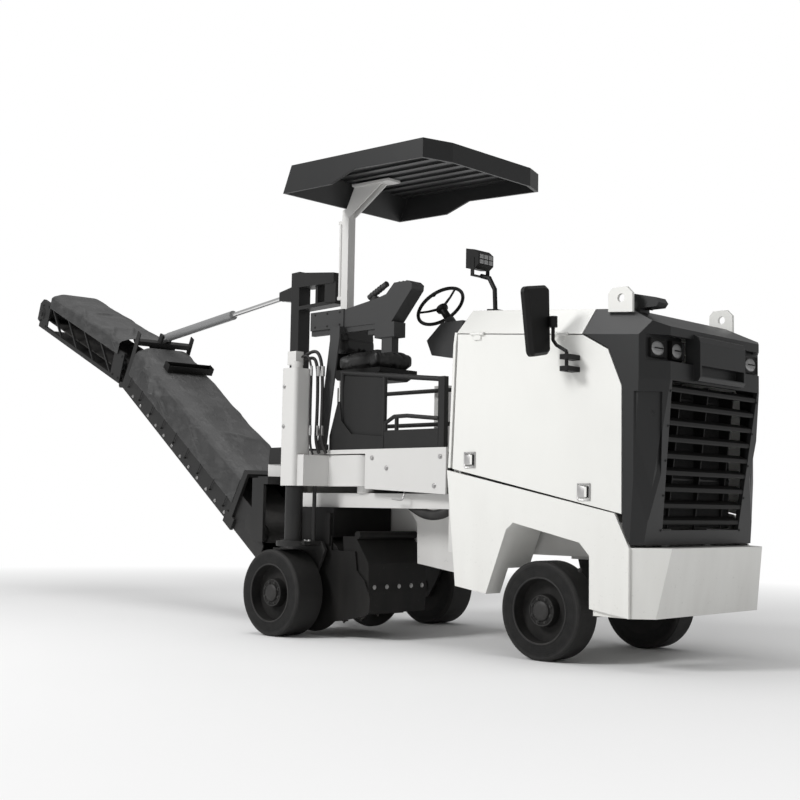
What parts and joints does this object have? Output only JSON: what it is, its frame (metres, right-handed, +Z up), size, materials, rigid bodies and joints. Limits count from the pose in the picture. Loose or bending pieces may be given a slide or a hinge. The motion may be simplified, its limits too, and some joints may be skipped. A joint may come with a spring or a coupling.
{
  "type": "cold planer milling machine",
  "caption": "Compact wheeled cold planer: engine hood, open operator's platform with canopy, milling drum between the rear wheels and a folding rear conveyor.",
  "frame": {"origin": "middle of the machine's outline on the ground it stands on", "axes": "+X forward to the radiator grille, +Y to the machine's left, +Z up"},
  "size_m": [8.194, 1.8444, 3.348],
  "materials": {
    "white_paint": "smooth off-white enamel",
    "charcoal_paint": "satin charcoal enamel",
    "black_paint": "satin black enamel, dusty",
    "dark_grey": "satin dark grey enamel",
    "bright_steel": "polished piston rod",
    "worn_steel": "worn cutting steel",
    "rubber": "smooth solid rubber",
    "belt_rubber": "matt conveyor belt",
    "tarpaulin": "wrinkled grey tarpaulin",
    "seat_vinyl": "black seat vinyl",
    "lamp_lens": "clear ribbed lens over a bright reflector"
  },
  "bodies": {
    "machine": {"chassis_frame": "white_paint", "engine_block": "dark_grey", "hood_shell": "white_paint", "side_skirt_right": "white_paint", "side_skirt_left": "white_paint", "front_bumper": "white_paint", "front_cowl": "charcoal_paint", "grille_slats": "charcoal_paint", "headlamps": "lamp_lens", "hood_fittings": "white_paint", "air_outlet": "charcoal_paint", "work_lamp": "black_paint", "operator_platform": "white_paint", "platform_rails": "dark_grey", "seat_pedestal": "dark_grey", "seat_cushion": "seat_vinyl", "side_console": "dark_grey", "steering_stand": "dark_grey", "canopy_post": "white_paint", "canopy_roof": "dark_grey", "drum_housing": "black_paint", "front_axle": "black_paint"},
    "door_right": {"hood_door_right": "white_paint", "mirror_right": "black_paint"},
    "door_left": {"hood_door_left": "white_paint"},
    "steering": {"steering_wheel": "black_paint"},
    "drum": {"milling_drum": "worn_steel"},
    "shield": {"side_shield_right": "black_paint"},
    "kingpin_right": {"knuckle_right": "black_paint"},
    "kingpin_left": {"knuckle_left": "black_paint"},
    "tyre_front_right": {"wheel_front_right": "rubber"},
    "tyre_front_left": {"wheel_front_left": "rubber"},
    "tyre_rear_right": {"wheel_rear_right": "rubber"},
    "tyre_rear_left": {"wheel_rear_left": "rubber"},
    "arm_right": {"swing_arm": "white_paint"},
    "strut_right": {"leg_right": "dark_grey"},
    "strut_left": {"leg_left": "dark_grey"},
    "yoke": {"conveyor_yoke": "dark_grey"},
    "boom_lower": {"conveyor_lower": "dark_grey", "belt_lower": "belt_rubber", "cover_lower": "tarpaulin"},
    "boom_upper": {"conveyor_upper": "dark_grey", "belt_upper": "belt_rubber", "cover_upper": "tarpaulin"},
    "cylinder": {"lift_barrel": "dark_grey"},
    "piston": {"lift_rod": "bright_steel"}
  },
  "joints": [
    {"name": "spin_front_right", "type": "hinge", "parent": "kingpin_right", "child": "tyre_front_right", "pos_m": [3.21702, -0.46279, 0.3], "axis": [0, 1, 0], "continuous": true},
    {"name": "spin_front_left", "type": "hinge", "parent": "kingpin_left", "child": "tyre_front_left", "pos_m": [3.21702, 0.62721, 0.3], "axis": [0, 1, 0], "continuous": true},
    {"name": "spin_rear_right", "type": "hinge", "parent": "strut_right", "child": "tyre_rear_right", "pos_m": [1.09702, -0.76779, 0.3], "axis": [0, 1, 0], "continuous": true},
    {"name": "spin_rear_left", "type": "hinge", "parent": "strut_left", "child": "tyre_rear_left", "pos_m": [1.09702, 0.80221, 0.3], "axis": [0, 1, 0], "continuous": true},
    {"name": "steer_right", "type": "hinge", "parent": "machine", "child": "kingpin_right", "pos_m": [3.21702, -0.24779, 0.3], "axis": [0, 0, 1], "range_deg": [-25, 25]},
    {"name": "steer_left", "type": "hinge", "parent": "machine", "child": "kingpin_left", "pos_m": [3.21702, 0.41221, 0.3], "axis": [0, 0, 1], "range_deg": [-25, 25]},
    {"name": "steering_wheel_turn", "type": "hinge", "parent": "machine", "child": "steering", "pos_m": [1.97702, -0.12779, 2.32], "axis": [-0.6428, 0, 0.766], "range_deg": [-350, 350]},
    {"name": "drum_spin", "type": "hinge", "parent": "machine", "child": "drum", "pos_m": [1.19702, -0.29279, 0.372], "axis": [0, 1, 0], "continuous": true},
    {"name": "shield_slide", "type": "slide", "parent": "machine", "child": "shield", "axis": [0, 0, 1], "range_m": [0, 0.12]},
    {"name": "arm_swing", "type": "hinge", "parent": "machine", "child": "arm_right", "pos_m": [1.61702, -0.47779, 1.12], "axis": [0, 0, 1], "range_deg": [0, 80]},
    {"name": "lift_right", "type": "slide", "parent": "arm_right", "child": "strut_right", "axis": [0, 0, 1], "range_m": [-0.1, 0.2]},
    {"name": "lift_left", "type": "slide", "parent": "machine", "child": "strut_left", "axis": [0, 0, 1], "range_m": [-0.1, 0.2]},
    {"name": "door_right_open", "type": "hinge", "parent": "machine", "child": "door_right", "pos_m": [3.09702, -0.60709, 1.982], "axis": [-0.9965, 0, 0.0837], "range_deg": [0, 60]},
    {"name": "door_left_open", "type": "hinge", "parent": "machine", "child": "door_left", "pos_m": [3.09702, 0.77151, 1.982], "axis": [0.9965, 0, -0.0837], "range_deg": [0, 60]},
    {"name": "conveyor_slew", "type": "hinge", "parent": "machine", "child": "yoke", "pos_m": [0.29702, 0.03221, 1.18], "axis": [0, 0, 1], "range_deg": [-18, 18]},
    {"name": "conveyor_luff", "type": "hinge", "parent": "yoke", "child": "boom_lower", "pos_m": [0.12795, 0.04998, 0.76], "axis": [0.1045, 0.9945, 0], "range_deg": [-8, 6]},
    {"name": "conveyor_fold", "type": "hinge", "parent": "boom_lower", "child": "boom_upper", "pos_m": [-2.18346, 0.29292, 2.00472], "axis": [0.1045, 0.9945, 0], "range_deg": [-55, 0]},
    {"name": "cylinder_tilt", "type": "hinge", "parent": "boom_lower", "child": "cylinder", "pos_m": [-1.86109, 0.25904, 2.44], "axis": [0.1045, 0.9945, 0], "range_deg": [-10, 10]},
    {"name": "rod_slide", "type": "slide", "parent": "cylinder", "child": "piston", "axis": [0.9913, -0.1042, 0.081], "range_m": [-0.4, 0.5]}
  ],
  "couplings": [
    {"joint": "steer_left", "follows": "steer_right", "ratio": 1},
    {"joint": "steering_wheel_turn", "follows": "steer_right", "ratio": 14},
    {"joint": "cylinder_tilt", "follows": "conveyor_luff", "ratio": -0.075},
    {"joint": "rod_slide", "follows": "conveyor_luff", "m_per_rad": -1.84}
  ]
}
